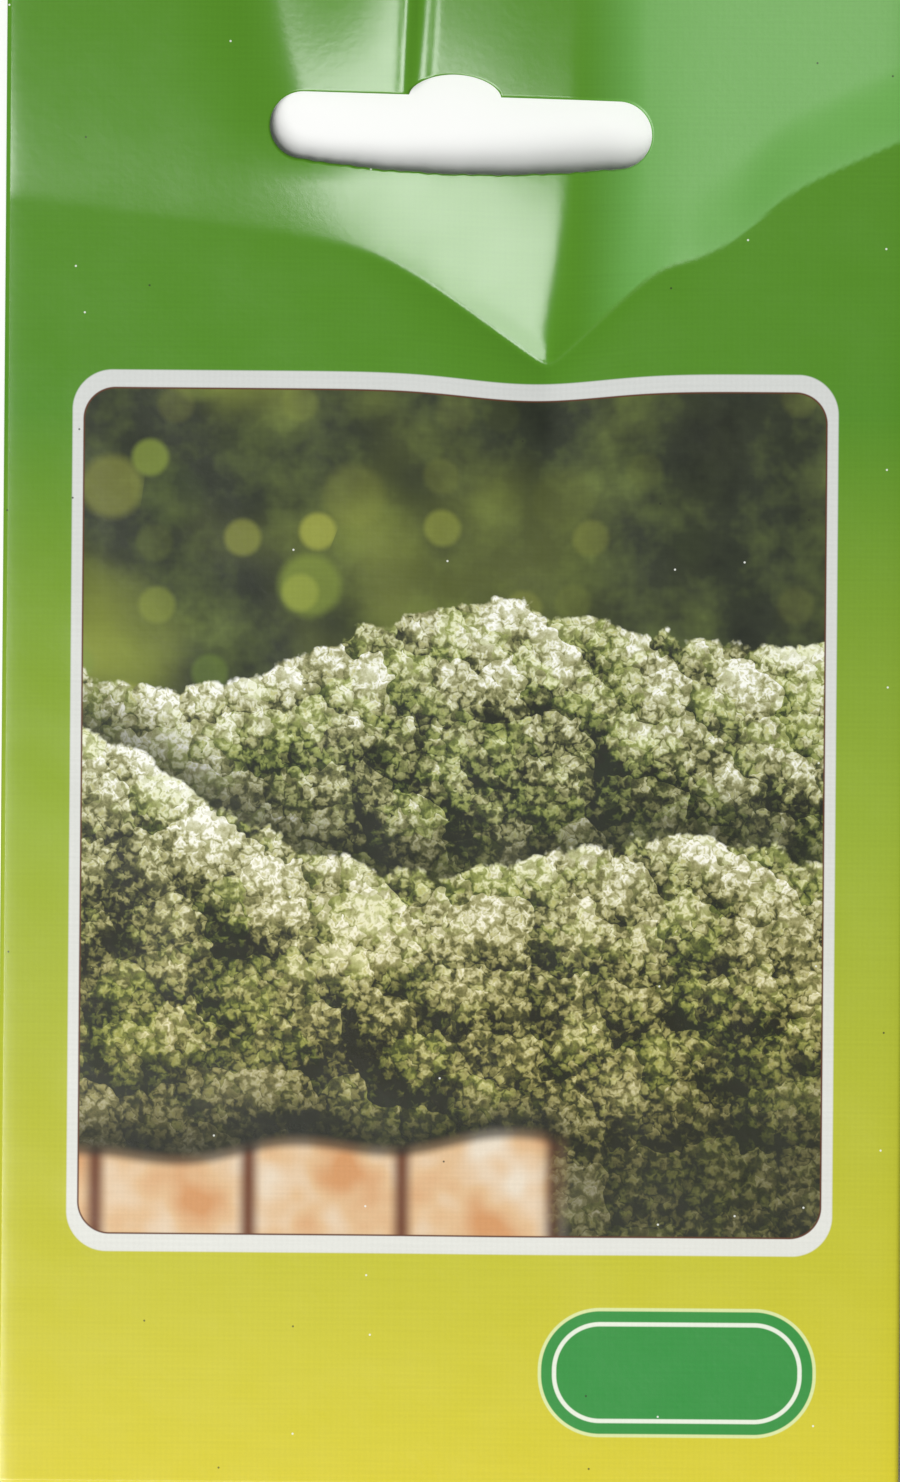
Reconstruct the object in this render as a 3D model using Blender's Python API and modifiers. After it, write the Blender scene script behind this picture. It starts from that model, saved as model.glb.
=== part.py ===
"""Seed packet: a flat heat-sealed pouch with a hang slot, lying on its back.

Two printed sheets of paper and film laminate are sealed to each other round the sides,
the bottom and the whole header. The pouch between them holds a small heap of seeds.
Metres, +Z up. The front faces +Z, the header end is +Y, and the origin is under the
middle of the packet, on the surface that it lies on.
"""

import math
import random

import bpy
import numpy as np
from mathutils import Matrix, Vector

MM = 0.001

# Packet outline and laminate
PACKET_WIDTH = 76.5 * MM
PACKET_HEIGHT = 127.0 * MM
SHEET_THICKNESS = 0.15 * MM
PLY_GAP = 0.3 * MM

# Pouch
SIDE_SEAL = 5.0 * MM
BOTTOM_SEAL = 6.0 * MM
FRONT_BELLY = 1.2 * MM
BACK_BELLY = 0.6 * MM
BOTTOM_SWELL = 22.0 * MM
TOP_SWELL = 24.0 * MM
BACK_FLAT_SHARE = 0.7
SIDE_POWER = 2.6

# Crease between the pouch and the header: two wings and a V-shaped tongue
TONGUE_TIP = (7.8 * MM, 31.8 * MM)
TONGUE_LEFT_SLOPE = -0.74
TONGUE_RIGHT_SLOPE = 1.01
LEFT_WING_Y = 41.4 * MM
LEFT_WING_SLOPE = -0.115
RIGHT_WING_START = (15.8 * MM, 39.9 * MM)
RIGHT_WING_SLOPE = 0.45
TIP_RADIUS = 0.8 * MM
WING_RADIUS = 3.0 * MM
CREASE_DEPTH = 0.3 * MM
CREASE_POUCH_SIDE = 4.0 * MM
CREASE_HEADER_SIDE = 1.4 * MM
CREASE_REACH = 16.0 * MM

# Header, which lifts away from the crease
LIFT_LEFT = 0.05
LIFT_TONGUE = 0.13
LIFT_RIGHT = 0.09
LIFT_LENGTH = 16.0 * MM
LIFT_LEFT_SPAN = (-16.0 * MM, 4.0 * MM)
LIFT_RIGHT_SPAN = (8.0 * MM, 20.0 * MM)
DENT_X = -14.4 * MM
DENT_DEPTH = 0.4 * MM
DENT_WIDTH = 6.0 * MM
DENT_START_Y = 49.0 * MM
DENT_RUN = 5.0 * MM

# Pressed wrinkle from the slot's bump to the top edge: where each step lies and how high it is
WRINKLE_STEPS = ((-5.1 * MM, 0.15 * MM), (-3.7 * MM, -0.15 * MM), (-2.3 * MM, 0.18 * MM))
WRINKLE_WIDTH = 0.4 * MM
WRINKLE_START_Y = 51.0 * MM
WRINKLE_RUN = 4.0 * MM

# Hang slot
SLOT_CENTRE = (0.25 * MM, 51.75 * MM)
SLOT_LENGTH = 32.4 * MM
SLOT_WIDTH = 5.7 * MM
SLOT_SAG = 0.9 * MM
SLOT_TILT = math.radians(-1.5)
BUMP_X = -0.6 * MM
BUMP_HALF_WIDTH = 3.9 * MM
BUMP_HEIGHT = 1.8 * MM
SLOT_END_STEPS = 10
SLOT_EDGE_STEPS = 12
CUTTER_REACH = 10.0 * MM

# Grid of each sheet: column stations (column number, x) and rows on each side of the crease
HALF_WIDTH = PACKET_WIDTH / 2
HALF_HEIGHT = PACKET_HEIGHT / 2
COLUMN_STATIONS = (
    (0, -HALF_WIDTH),
    (6, -22.0 * MM),
    (12, -6.0 * MM),
    (19, -1.5 * MM),
    (23, TONGUE_TIP[0]),
    (27, RIGHT_WING_START[0]),
    (35, HALF_WIDTH),
)
POUCH_ROWS = 20
HEADER_ROWS = 14

# Seeds
HEAP_CENTRE = (0.0, -37.0 * MM)
HEAP_SIZE = (32.0 * MM, 19.0 * MM, 1.1 * MM)
HEAP_COVER = 0.97
SEED_SIZE = (1.9 * MM, 1.3 * MM, 0.7 * MM)
SEED_COUNT = 90
SEED_LEAN = 0.25
SEED_RISE = 0.8
SEED_CLEARANCE = 0.35 * MM
GOLDEN_ANGLE = math.pi * (3.0 - math.sqrt(5.0))

WELD_DISTANCE = 0.001 * MM

# Half the thickness of the sealed header, and the seal's middle plane above the surface
HALF_PLIES = PLY_GAP / 2 + SHEET_THICKNESS
SEAL_PLANE = HALF_PLIES + BACK_BELLY


def clear_scene():
    for item in list(bpy.data.objects):
        bpy.data.objects.remove(item, do_unlink=True)


def new_collection(name):
    collection = bpy.data.collections.new(name)
    bpy.context.scene.collection.children.link(collection)
    return collection


def laminate(name, colour, roughness):
    material = bpy.data.materials.new(name)
    material.use_nodes = True
    shader = material.node_tree.nodes["Principled BSDF"]
    shader.inputs["Base Color"].default_value = (*colour, 1.0)
    shader.inputs["Roughness"].default_value = roughness
    shader.inputs["Metallic"].default_value = 0.0
    return material


def soft_max(a, b, radius):
    return 0.5 * (a + b + np.sqrt((a - b) ** 2 + radius ** 2))


def soft_min(a, b, radius):
    return 0.5 * (a + b - np.sqrt((a - b) ** 2 + radius ** 2))


def smooth_step(t):
    t = np.clip(t, 0.0, 1.0)
    return t * t * (3.0 - 2.0 * t)


def ease_up(t):
    """A rise from 0 that arrives level at 1."""
    t = np.clip(t, 0.0, 1.0)
    return 1.0 - (1.0 - t) ** 2


def crease_y(x):
    """The crease's Y at each x: the lower of the tongue's V and the wings, with soft joins."""
    left = TONGUE_TIP[1] + TONGUE_LEFT_SLOPE * (x - TONGUE_TIP[0])
    right = TONGUE_TIP[1] + TONGUE_RIGHT_SLOPE * (x - TONGUE_TIP[0])
    tongue = soft_max(left, right, TIP_RADIUS)
    left_wing = LEFT_WING_Y + LEFT_WING_SLOPE * x
    right_wing = RIGHT_WING_START[1] + RIGHT_WING_SLOPE * (x - RIGHT_WING_START[0])
    wings = soft_max(left_wing, right_wing, WING_RADIUS)
    return soft_min(tongue, wings, WING_RADIUS)


def swell(x, y):
    """How full the pouch is, 0 at the seals and the crease and 1 in its middle."""
    across = np.clip(np.abs(x) / (HALF_WIDTH - SIDE_SEAL), 0.0, 1.0)
    from_bottom = (y + HALF_HEIGHT - BOTTOM_SEAL) / BOTTOM_SWELL
    from_top = (crease_y(x) - y) / TOP_SWELL
    return (1.0 - across ** SIDE_POWER) * ease_up(from_bottom) * ease_up(from_top)


def header_lift(x, y):
    """How far both sheets rise past the crease: steep at the tongue, gentle at the sides."""
    to_tongue = smooth_step((x - LIFT_LEFT_SPAN[0]) / (LIFT_LEFT_SPAN[1] - LIFT_LEFT_SPAN[0]))
    to_right = smooth_step((x - LIFT_RIGHT_SPAN[0]) / (LIFT_RIGHT_SPAN[1] - LIFT_RIGHT_SPAN[0]))
    slope = LIFT_LEFT + (LIFT_TONGUE - LIFT_LEFT) * to_tongue + (LIFT_RIGHT - LIFT_TONGUE) * to_right
    past = np.maximum(y - crease_y(x), 0.0)
    return slope * LIFT_LENGTH * (1.0 - np.exp(-past / LIFT_LENGTH))


def crease_groove(x, y):
    """A groove along the crease, wide on the pouch side and short on the header side."""
    past = y - crease_y(x)
    width = np.where(past < 0.0, CREASE_POUCH_SIDE, CREASE_HEADER_SIDE)
    near_tongue = np.exp(-((x - TONGUE_TIP[0]) / CREASE_REACH) ** 2)
    return CREASE_DEPTH * near_tongue * np.exp(-np.abs(past) / width)


def header_folds(x, y):
    """A shallow dent beside the slot and the pressed wrinkle above it."""
    dent = DENT_DEPTH * np.exp(-((x - DENT_X) / DENT_WIDTH) ** 2)
    dent = dent * smooth_step((y - DENT_START_Y) / DENT_RUN)
    wrinkle = np.zeros_like(x)
    for step_x, step_height in WRINKLE_STEPS:
        wrinkle = wrinkle + step_height * 0.5 * (1.0 + np.tanh((x - step_x) / WRINKLE_WIDTH))
    wrinkle = wrinkle * smooth_step((y - WRINKLE_START_Y) / WRINKLE_RUN)
    return wrinkle - dent


def seal_plane(x, y):
    return SEAL_PLANE + header_lift(x, y) + header_folds(x, y)


def front_top(x, y):
    """Outer face of the front sheet."""
    return seal_plane(x, y) + HALF_PLIES + FRONT_BELLY * swell(x, y) - crease_groove(x, y)


def back_bottom(x, y):
    """Outer face of the back sheet: level on the surface under most of the pouch."""
    belly = ease_up(swell(x, y) / BACK_FLAT_SHARE)
    height = seal_plane(x, y) - HALF_PLIES - BACK_BELLY * belly - crease_groove(x, y)
    return np.maximum(height, 0.0)


def sheet_grid(name, height, collection):
    """An open grid whose rows follow the crease, raised to the height function."""
    columns = COLUMN_STATIONS[-1][0]
    rows = POUCH_ROWS + HEADER_ROWS
    bpy.ops.mesh.primitive_grid_add(x_subdivisions=columns, y_subdivisions=rows, size=2.0)
    sheet = bpy.context.active_object
    sheet.name = name
    sheet.data.name = name
    points = np.empty(len(sheet.data.vertices) * 3)
    sheet.data.vertices.foreach_get("co", points)
    points = points.reshape(-1, 3)
    numbers, stations = zip(*COLUMN_STATIONS)
    x = np.interp((points[:, 0] + 1.0) / 2.0 * columns, numbers, stations)
    row = (points[:, 1] + 1.0) / 2.0 * rows
    crease = crease_y(x)
    below = -HALF_HEIGHT + (crease + HALF_HEIGHT) * row / POUCH_ROWS
    above = crease + (HALF_HEIGHT - crease) * (row - POUCH_ROWS) / HEADER_ROWS
    y = np.where(row <= POUCH_ROWS, below, above)
    points = np.stack((x, y, height(x, y)), axis=1)
    sheet.data.vertices.foreach_set("co", points.ravel())
    sheet.data.update()
    move_to(sheet, collection)
    return sheet


def move_to(item, collection):
    for owner in list(item.users_collection):
        owner.objects.unlink(item)
    collection.objects.link(item)


def slot_outline():
    """The slot from above: round ends, a level upper edge with a bump, and a sagging lower edge."""
    radius = SLOT_WIDTH / 2
    reach = SLOT_LENGTH / 2 - radius
    points = []
    for step in range(SLOT_END_STEPS + 1):
        angle = -math.pi / 2 + math.pi * step / SLOT_END_STEPS
        points.append((reach + radius * math.cos(angle), radius * math.sin(angle)))
    for step in range(SLOT_EDGE_STEPS + 1):
        turn = math.pi * step / SLOT_EDGE_STEPS
        along = BUMP_X + BUMP_HALF_WIDTH * math.cos(turn)
        points.append((along, radius + BUMP_HEIGHT * math.sin(turn)))
    for step in range(SLOT_END_STEPS + 1):
        angle = math.pi / 2 + math.pi * step / SLOT_END_STEPS
        points.append((-reach + radius * math.cos(angle), radius * math.sin(angle)))
    for step in range(1, SLOT_EDGE_STEPS):
        along = reach * (2.0 * step / SLOT_EDGE_STEPS - 1.0)
        points.append((along, -radius - SLOT_SAG * (1.0 - (along / reach) ** 2)))
    turn = Matrix.Rotation(SLOT_TILT, 2)
    centre = Vector(SLOT_CENTRE)
    return [centre + turn @ Vector(point) for point in points]


def slot_cutter(collection):
    outline = slot_outline()
    curve = bpy.data.curves.new("slot_outline", "CURVE")
    curve.dimensions = "2D"
    curve.fill_mode = "BOTH"
    curve.extrude = CUTTER_REACH
    spline = curve.splines.new("POLY")
    spline.points.add(len(outline) - 1)
    for point, place in zip(spline.points, outline):
        point.co = (place.x, place.y, 0.0, 1.0)
    spline.use_cyclic_u = True
    drawn = bpy.data.objects.new("slot_outline", curve)
    collection.objects.link(drawn)
    evaluated = drawn.evaluated_get(bpy.context.evaluated_depsgraph_get())
    mesh = bpy.data.meshes.new_from_object(evaluated)
    mesh.name = "slot_cutter"
    cutter = bpy.data.objects.new("slot_cutter", mesh)
    cutter.matrix_world = drawn.matrix_world.copy()
    weld = cutter.modifiers.new("Weld", "WELD")
    weld.merge_threshold = WELD_DISTANCE
    collection.objects.link(cutter)
    bpy.data.objects.remove(drawn, do_unlink=True)
    cutter.hide_render = True
    cutter.display_type = "WIRE"
    return cutter


def finish_sheet(sheet, into, cutter, material):
    """Thickness towards the pouch, then the hang slot."""
    solidify = sheet.modifiers.new("Thickness", "SOLIDIFY")
    solidify.thickness = SHEET_THICKNESS
    solidify.offset = into
    facets = sheet.modifiers.new("Facets", "TRIANGULATE")
    facets.min_vertices = 4
    slot = sheet.modifiers.new("Hang slot", "BOOLEAN")
    slot.operation = "DIFFERENCE"
    slot.solver = "EXACT"
    slot.object = cutter
    sheet.data.materials.append(material)
    sheet.data.shade_smooth()


def seed_place(index):
    """A seed's centre on the heap, from a sunflower spiral that covers its upper half evenly."""
    share = HEAP_COVER * math.sqrt((index + 0.5) / SEED_COUNT)
    angle = index * GOLDEN_ANGLE
    across = HEAP_SIZE[0] / 2 * share * math.cos(angle)
    along = HEAP_SIZE[1] / 2 * share * math.sin(angle)
    rise = HEAP_SIZE[2] / 2 * math.sqrt(1.0 - share ** 2) * SEED_RISE
    middle = SHEET_THICKNESS + SEED_CLEARANCE + HEAP_SIZE[2] / 2
    return Vector((HEAP_CENTRE[0] + across, HEAP_CENTRE[1] + along, middle + rise))


def ellipsoid(name, size, segments, rings, collection):
    bpy.ops.mesh.primitive_uv_sphere_add(segments=segments, ring_count=rings, radius=0.5)
    body = bpy.context.active_object
    body.name = name
    body.data.name = name
    body.data.transform(Matrix.Diagonal((*size, 1.0)))
    move_to(body, collection)
    return body


def seed_heap(collection):
    """A low lens with seeds set in its upper half, joined in one solid."""
    seeds = new_collection("loose_seeds")
    heap = ellipsoid("seeds", HEAP_SIZE, 32, 10, collection)
    heap.location = (*HEAP_CENTRE, SHEET_THICKNESS + SEED_CLEARANCE + HEAP_SIZE[2] / 2)
    draw = random.Random(7)
    for index in range(SEED_COUNT):
        seed = ellipsoid("loose_seed", SEED_SIZE, 6, 4, seeds)
        lean = Matrix.Rotation(draw.uniform(-SEED_LEAN, SEED_LEAN), 4, "X")
        turn = Matrix.Rotation(draw.uniform(0.0, math.pi), 4, "Z")
        seed.data.transform(turn @ lean)
        seed.location = seed_place(index)

    union = heap.modifiers.new("Joined seeds", "BOOLEAN")
    union.operation = "UNION"
    union.solver = "EXACT"
    union.operand_type = "COLLECTION"
    union.collection = seeds
    bpy.context.view_layer.update()
    evaluated = heap.evaluated_get(bpy.context.evaluated_depsgraph_get())
    joined = bpy.data.meshes.new_from_object(evaluated)
    heap.modifiers.clear()
    heap.data = joined
    joined.name = "seeds"
    for seed in list(seeds.objects):
        bpy.data.objects.remove(seed, do_unlink=True)
    bpy.data.collections.remove(seeds)
    heap.data.materials.append(laminate("seed_coat", (0.30, 0.13, 0.045), 0.6))
    return heap


def main():
    clear_scene()
    packet = new_collection("seed_packet")
    guides = new_collection("cutters")
    cutter = slot_cutter(guides)

    front = sheet_grid("front_sheet", front_top, packet)
    finish_sheet(front, -1.0, cutter, laminate("front_print", (0.18, 0.38, 0.05), 0.32))

    back = sheet_grid("back_sheet", back_bottom, packet)
    finish_sheet(back, 1.0, cutter, laminate("back_print", (0.55, 0.56, 0.09), 0.35))

    seed_heap(packet)


main()
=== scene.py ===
"""Seed packet: the looks of a sealed packet of printed laminate, lying on its back.

Laid out as an add-on with one operator for each piece. Run as a script, it makes them all.
"""

import math

import bpy
import numpy as np
from bpy.props import FloatProperty, FloatVectorProperty, IntProperty, PointerProperty
from bpy.types import Operator, Panel, PropertyGroup
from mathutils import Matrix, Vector


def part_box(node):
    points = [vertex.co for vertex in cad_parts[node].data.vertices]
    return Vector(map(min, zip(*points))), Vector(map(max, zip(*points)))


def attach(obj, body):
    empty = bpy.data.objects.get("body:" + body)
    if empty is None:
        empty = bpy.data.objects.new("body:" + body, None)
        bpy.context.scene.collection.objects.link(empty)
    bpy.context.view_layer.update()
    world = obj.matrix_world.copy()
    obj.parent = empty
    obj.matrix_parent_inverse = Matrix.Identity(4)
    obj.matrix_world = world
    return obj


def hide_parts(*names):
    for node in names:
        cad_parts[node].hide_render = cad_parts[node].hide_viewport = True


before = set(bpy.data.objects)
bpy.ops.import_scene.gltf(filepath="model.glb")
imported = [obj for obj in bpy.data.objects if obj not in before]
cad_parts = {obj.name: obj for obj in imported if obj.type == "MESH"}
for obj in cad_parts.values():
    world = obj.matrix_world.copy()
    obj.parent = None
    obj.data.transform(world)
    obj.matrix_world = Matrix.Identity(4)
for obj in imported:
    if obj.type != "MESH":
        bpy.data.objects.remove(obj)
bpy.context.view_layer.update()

bl_info = {
    "name": "Seed Packet",
    "version": (1, 0, 0),
    "blender": (4, 5, 0),
    "location": "View3D > Sidebar > Seed Packet",
    "description": "Makes a sealed seed packet of printed laminate with a hang slot",
    "category": "Object",
}

MM = 0.001
FRONT_LOW, FRONT_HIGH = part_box("front_sheet")
HALF_WIDTH = (FRONT_HIGH.x - FRONT_LOW.x) / 2
HALF_HEIGHT = (FRONT_HIGH.y - FRONT_LOW.y) / 2
WIDTH_MM = 2 * HALF_WIDTH / MM
HEIGHT_MM = 2 * HALF_HEIGHT / MM

# Photograph: its frame, and the packet's middle and turn in it
FRAME_PIXELS = (900, 1482)
PIXEL_SIZE = 0.0847 * MM
PACKET_MIDDLE_PIXEL = (453, 741)
PACKET_TURN = math.radians(0.47)

# Laminate as it really lies: plies pressed together at the seals
PLY_GAP = 0.06 * MM
CAD_HALF_PLIES = 0.3 * MM
SEAL_PLANE = 0.9 * MM

# Waves in the sheets: ripples of some millimetres, and puckers beside the side seals
RIPPLE_DRAW = 11
RIPPLE_COUNT = 6
RIPPLE_LENGTHS_MM = (9.0, 30.0)
RIPPLE_FADE = 4.0
PUCKER_REACH = 3.0 * MM
PUCKER_LENGTHS = (1.9 * MM, 7.0 * MM)
PUCKER_WANDER = 1.7
PUCKER_RIGHT_SHIFT = 2.1
PUCKER_FADE = 8.0 * MM
PUCKER_CREASE_GAP = 2.0 * MM

# Pouch
SIDE_SEAL = 5.0 * MM
BOTTOM_SEAL = 6.0 * MM
FRONT_BELLY = 0.12 * MM
CAD_BACK_BELLY = 0.6 * MM
BOTTOM_SWELL = 34.0 * MM
TOP_SWELL = 24.0 * MM
BACK_FLAT_SHARE = 0.7
SIDE_POWER = 2.6

# Crease between the pouch and the header
TONGUE_TIP = (7.8 * MM, 31.8 * MM)
TONGUE_LEFT_SLOPE = -0.74
TONGUE_RIGHT_SLOPE = 1.01
LEFT_WING_Y = 41.4 * MM
LEFT_WING_SLOPE = -0.115
RIGHT_WING_START = (15.8 * MM, 39.9 * MM)
RIGHT_WING_SLOPE = 0.45
RIGHT_WING_BEND = 1.3 * MM
RIGHT_WING_BEND_X = 25.8 * MM
RIGHT_WING_BEND_RUN = (2.5 * MM, 5.0 * MM)
TIP_RADIUS = 0.8 * MM
TIP_FAR_RADIUS = 1.6 * MM
WING_RADIUS = 3.0 * MM
CREASE_DEPTH = 0.62 * MM
CREASE_POUCH_SIDE = 2.8 * MM
CREASE_HEADER_SIDE = 1.8 * MM
CREASE_REACH = 12.0 * MM

# Header: the rise of its left part, of the tongue and of its right part past the crease
LIFT_SLOPES = (0.088, 0.22, 0.125)
LIFT_LENGTHS = (8.5 * MM, 13.0 * MM, 24.0 * MM)
LIFT_POWER = 1.3
LIFT_BLEND = 3.5 * MM
LIFT_LEFT_SPAN = (-18.5 * MM, -2.0 * MM)
LIFT_RIGHT_SPAN = (9.5 * MM, 16.0 * MM)
RIDGE_LEAN = 0.12
RIGHT_RISE = 0.055
RIGHT_RISE_X = 16.0 * MM
RIGHT_RISE_ROUND = 5.0 * MM
RIGHT_RISE_RUN = 7.0 * MM
# Where the dull film and its painted sheen fade in above the crease
DULL_SHEEN_EDGE = 0.35 * MM

# Header: the valley, the wrinkle's steps as (x, height, width), and the shoulder between them
DENT_X = -15.4 * MM
DENT_LEAN = -0.30
DENT_DEPTH = 0.62 * MM
DENT_WIDTHS = (5.0 * MM, 16.0 * MM)
DENT_START_Y = 47.0 * MM
DENT_RUN = 8.0 * MM
WRINKLE_STEPS = (
    (-4.6 * MM, 0.10 * MM, 0.25 * MM),
    (-3.5 * MM, -0.24 * MM, 0.50 * MM),
    (-2.1 * MM, 0.14 * MM, 0.30 * MM),
)
WRINKLE_LEAN = 0.06
WRINKLE_START_Y = 51.0 * MM
WRINKLE_RUN = 4.0 * MM
SHOULDER_SLOPE = 0.024
SHOULDER_START_Y = 50.0 * MM
SHOULDER_SPAN = (-16.0 * MM, -5.0 * MM)
SHOULDER_DROP = (-4.3 * MM, -3.1 * MM)
EDGE_CURL = 0.08 * MM
EDGE_CURL_WIDTH = 0.7 * MM

# Hang slot
SLOT_CENTRE = (0.25 * MM, 51.75 * MM)
SLOT_LENGTH = 32.4 * MM
SLOT_WIDTH = 5.7 * MM
SLOT_SAG = 0.9 * MM
SLOT_TILT = math.radians(-1.5)
BUMP_X = -0.6 * MM
BUMP_HALF_WIDTH = 3.9 * MM
BUMP_HEIGHT = 1.8 * MM
BUMP_POWER = 1.2
TORN_HEIGHT = 0.05 * MM
TORN_LENGTHS = (0.19 * MM, 0.31 * MM, 0.83 * MM)
END_POINTS = 40
BUMP_POINTS = 60
LOWER_POINTS = 300

# Grid lines of the sheets: the window round the slot, and the cells in each span of lines
WINDOW_X = (-19.0 * MM, 19.5 * MM)
WINDOW_Y = (45.6 * MM, 58.8 * MM)
HEADER_FOOT_Y = 28.0 * MM
FRONT_COLUMNS = (46, 110, 44)
FRONT_ROWS = (130, 55, 36, 14)
BACK_COLUMNS = (40, 76, 40)
BACK_ROWS = (60, 48, 28, 12)
SLOT_RINGS = 16

# Print on the front, in millimetres from the packet's middle
GRADIENT_PLACES = (28.0, -7.0, -63.0)
PICTURE_CENTRE = (0.0, -6.1)
FRAME_SIZE = (64.9, 74.7)
FRAME_RADIUS = 3.4
# Heights over which the frame's white goes from grey at the top to white at the bottom: painted shade
FRAME_PAINTED_SHADE = (32.0, -42.0)
PICTURE_SIZE = (63.0, 71.7)
PICTURE_RADIUS = 2.7
PATCH_CENTRE = (19.4, -53.4)
PATCH_SIZE = (23.0, 10.4)
PATCH_RADIUS = 5.0
PATCH_RIM = (0.34, 0.22)
PATCH_EDGE = (0.06, -0.06)
PATCH_LINE_DEPTH = 1.1
PATCH_LINE = (0.24, 0.12)
FRAME_EDGE = (0.08, -0.08)
DARK_LINE_EDGE = (0.10, -0.02)
PICTURE_EDGE = (-0.04, -0.16)
PRINT_DIP = 1.05
PRINT_DIP_X = 6.6
PRINT_DIP_WIDTH = 8.0
PRINT_DIP_REACH = (22.0, 14.0)

# Flower bed in the picture: lights as (cells a millimetre, strength, shift), and sizes in millimetres
HEDGE_LIGHTS = ((0.10, 0.75, 4.0), (0.17, 0.60, 21.0))
FAR_HEAD_SIZE = 3.9
NEAR_HEAD_SIZE = 5.0
FLORET_SIZE = 0.98
LIGHT_FROM = (0.5, 0.85)
NEAR_ZERO = 0.001
BRICK_LENGTH = 13.0
BRICK_SHIFT = 0.31
BRICK_JOINT = 0.10

# Print on the back, in millimetres from the packet's middle
PANEL_CENTRE = (0.0, -8.0)
PANEL_SIZE = (64.0, 84.0)
PANEL_RADIUS = 3.0
MONTHS = 12
MONTH_STEP = 4.8
MONTH_Y = -38.0
MONTH_OUTER = 2.0
MONTH_INNER = 1.75
MONTH_EDGE = 0.1
SOWN_MONTHS = (2.0, 6.0)

# Grain: the print screen's pitch in millimetres, the dust's cells a millimetre, and low reliefs
SCREEN_PITCH = 0.34
SCREEN_ANGLE = math.radians(45)
DUST_CELLS = 0.16
PEEL_HEIGHT = 0.05 * MM
FIBRE_HEIGHT = 0.03 * MM
PIT_HEIGHT = 0.03 * MM

# Seeds: the number of their draw, then sizes and rooms as shares of a seed's length or half length
SEED_DRAW = 5
SEED_SIZES = (0.85, 1.1)
SEED_WIDTH = 0.68
SEED_DEPTH = 0.32
SEED_SIDES = 8
SEED_RINGS = 4
SEED_EDGE_ROOM = 0.6
SEED_FILM_ROOM = 0.2
SEED_SPREAD = 0.9

# Stage: the lens is in millimetres, and the frame fits at the height of the frame plane
FLOOR_HALF = 1.5
FLOOR_DROP = 0.02 * MM
FLOOR_COLOUR = (0.90, 0.90, 0.88, 1.0)
ROOM_COLOUR = (0.95, 0.98, 1.0, 1.0)
KEY_PLACE = (-0.51, -0.41, 1.88)
KEY_SIZE = 0.66
SIDE_PLACE = (-0.80, -1.13, 1.50)
SIDE_SIZE = 1.06
LENS_LENGTH = 600.0
LENS_NEAR = 0.1
FRAME_PLANE = 2.0 * MM


def srgb(red, green, blue):
    """A screen colour of 0 to 255 as linear red, green, blue."""
    steps = np.array((red, green, blue)) / 255.0
    linear = np.where(steps <= 0.04045, steps / 12.92, ((steps + 0.055) / 1.055) ** 2.4)
    return tuple(float(part) for part in linear)


class LaminateSettings(PropertyGroup):
    """Thickness and low relief of the sheets"""
    thickness: FloatProperty(
        name="Sheet thickness", description="Thickness of each printed sheet",
        default=0.12 * MM, min=0.02 * MM, max=0.5 * MM, unit="LENGTH", precision=5)
    ripple: FloatProperty(
        name="Ripple", description="Height of the sheet's gentle waves",
        default=0.012 * MM, min=0.0, max=0.5 * MM, unit="LENGTH", precision=5)
    pucker: FloatProperty(
        name="Pucker", description="Height of the puckers beside the side seals",
        default=0.02 * MM, min=0.0, max=0.5 * MM, unit="LENGTH", precision=5)


class PrintSettings(PropertyGroup):
    """Colours of the print"""
    header_green: FloatVectorProperty(
        name="Header green", description="Print colour of the header", subtype="COLOR",
        default=srgb(81, 136, 32), min=0.0, max=1.0)
    middle_green: FloatVectorProperty(
        name="Middle green", description="Print colour beside the picture", subtype="COLOR",
        default=srgb(146, 170, 49), min=0.0, max=1.0)
    foot_yellow: FloatVectorProperty(
        name="Foot yellow", description="Print colour at the foot", subtype="COLOR",
        default=srgb(210, 198, 48), min=0.0, max=1.0)
    frame_white: FloatVectorProperty(
        name="Frame white", description="The unprinted white round the picture", subtype="COLOR",
        default=srgb(220, 220, 212), min=0.0, max=1.0)


class SeedSettings(PropertyGroup):
    """Number and length of the seeds"""
    count: IntProperty(
        name="Seeds", description="How many seeds lie in the pouch", default=420, min=1, max=2000)
    length: FloatProperty(
        name="Seed length", description="Length of a seed",
        default=1.5 * MM, min=0.3 * MM, max=5.0 * MM, unit="LENGTH", precision=5)


class StageSettings(PropertyGroup):
    """Strength of the lights"""
    key_power: FloatProperty(
        name="Key light", description="Power of the soft light high at the lower left",
        default=18.5, min=0.0, max=400.0, unit="POWER")
    side_power: FloatProperty(
        name="Side light", description="Power of the larger soft light further down that side",
        default=32.0, min=0.0, max=400.0, unit="POWER")
    sky: FloatProperty(
        name="Room light", description="Strength of the even light all round",
        default=0.16, min=0.0, max=5.0)


def soft_max(a, b, radius):
    """The larger of two, its join rounded: half of a + b + the root of (a - b)^2 + radius^2."""
    return 0.5 * (a + b + np.sqrt((a - b) ** 2 + radius ** 2))


def soft_min(a, b, radius):
    """The smaller of two, its join rounded: half of a + b - the root of (a - b)^2 + radius^2."""
    return 0.5 * (a + b - np.sqrt((a - b) ** 2 + radius ** 2))


def smooth_step(t):
    """From 0 to 1, level at both ends: 3 t^2 - 2 t^3."""
    t = np.clip(t, 0.0, 1.0)
    return t * t * (3.0 - 2.0 * t)


def ease_up(t):
    """A rise from 0 that arrives level at 1: 1 - (1 - t)^2."""
    t = np.clip(t, 0.0, 1.0)
    return 1.0 - (1.0 - t) ** 2


def span_share(value, span):
    """A value's place in a span: 0 at its start and 1 at its end."""
    return (value - span[0]) / (span[1] - span[0])


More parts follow.
